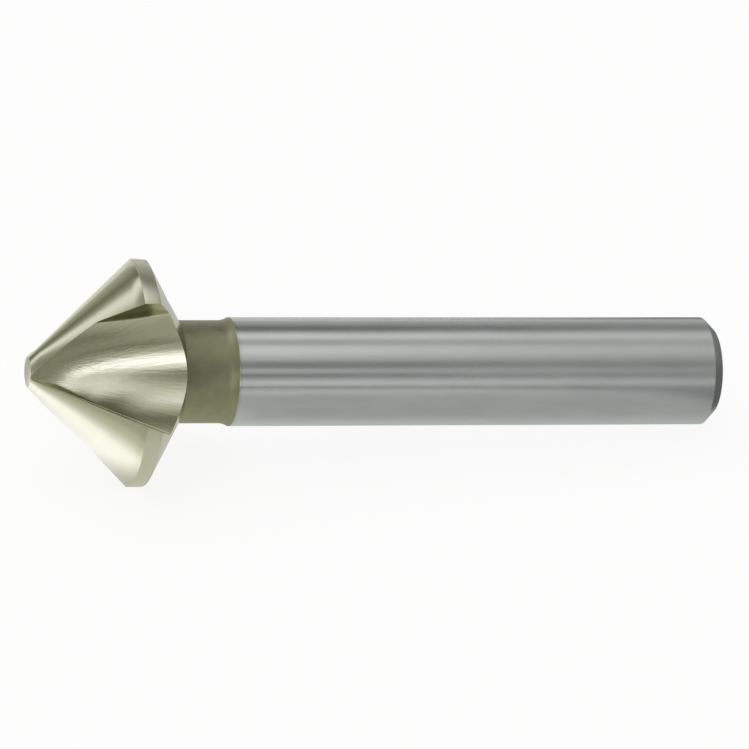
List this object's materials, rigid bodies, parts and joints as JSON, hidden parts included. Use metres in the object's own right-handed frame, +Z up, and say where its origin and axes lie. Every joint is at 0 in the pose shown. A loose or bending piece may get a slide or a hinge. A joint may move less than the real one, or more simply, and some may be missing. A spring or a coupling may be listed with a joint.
{
  "type": "countersink bit",
  "caption": "Fluted 90 degree countersink bit with a conical cutting head, a slim neck and a straight round shank.",
  "frame": {"origin": "on the surface the bit lies on, under the middle of its bounding box", "axes": "+X from the point to the shank, dipping 4 degrees below the horizontal on the way because the bit lies on its rim; +Z up"},
  "size_m": [0.0652, 0.021, 0.0195],
  "materials": {
    "tool_steel": "ground tool steel with a satin sheen"
  },
  "bodies": {
    "root": {"countersink_bit": "tool_steel"}
  },
  "joints": []
}
